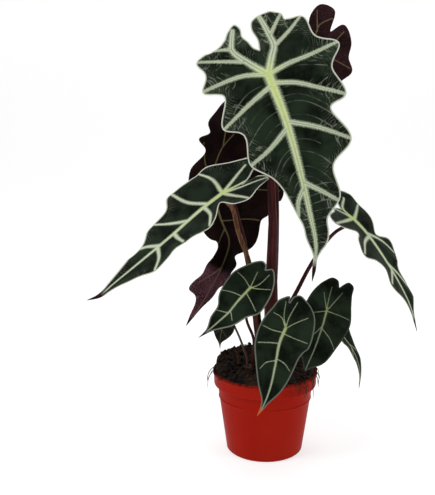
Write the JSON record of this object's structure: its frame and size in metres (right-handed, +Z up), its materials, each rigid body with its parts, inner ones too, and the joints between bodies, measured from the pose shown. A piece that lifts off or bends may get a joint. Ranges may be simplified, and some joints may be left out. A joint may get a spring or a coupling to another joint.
{
  "type": "potted plant",
  "caption": "Potted alocasia with arrow-shaped, pale-veined leaves on thin stalks rising from soil in a tapered round nursery pot",
  "frame": {"origin": "centre of the pot's flat underside", "axes": "+Z up along the pot's axis, +X to the right seen from the plant's front, -Y towards the front, where the tallest leaf faces"},
  "size_m": [0.3504, 0.165, 0.503],
  "materials": {
    "pot_plastic": "satin",
    "soil": "matte",
    "corm_skin": "matte",
    "blade_green": "satin",
    "blade_purple": "satin",
    "petiole_maroon": "satin",
    "petiole_brown": "satin",
    "petiole_green": "satin",
    "dry_stalk": "matte"
  },
  "bodies": {
    "root": {"pot": "pot_plastic", "potting_soil": "soil", "corm_main": "corm_skin", "corm_left": "corm_skin", "corm_front": "corm_skin", "sheath_tall": "petiole_maroon", "dry_stub": "dry_stalk", "blade_tall": "blade_green", "petiole_tall": "petiole_maroon", "blade_west": "blade_green", "petiole_west": "petiole_brown", "blade_east": "blade_green", "petiole_east": "petiole_maroon", "blade_rear_high": "blade_purple", "petiole_rear_high": "petiole_maroon", "blade_rear_west": "blade_purple", "petiole_rear_west": "petiole_maroon", "blade_low_west": "blade_green", "petiole_low_west": "petiole_maroon", "blade_low_front": "blade_green", "petiole_low_front": "petiole_maroon", "blade_low_east": "blade_green", "petiole_low_east": "petiole_maroon", "blade_narrow": "blade_green", "petiole_narrow": "petiole_green", "blade_low_hanging": "blade_green", "petiole_low_hanging": "petiole_green"}
  },
  "joints": []
}
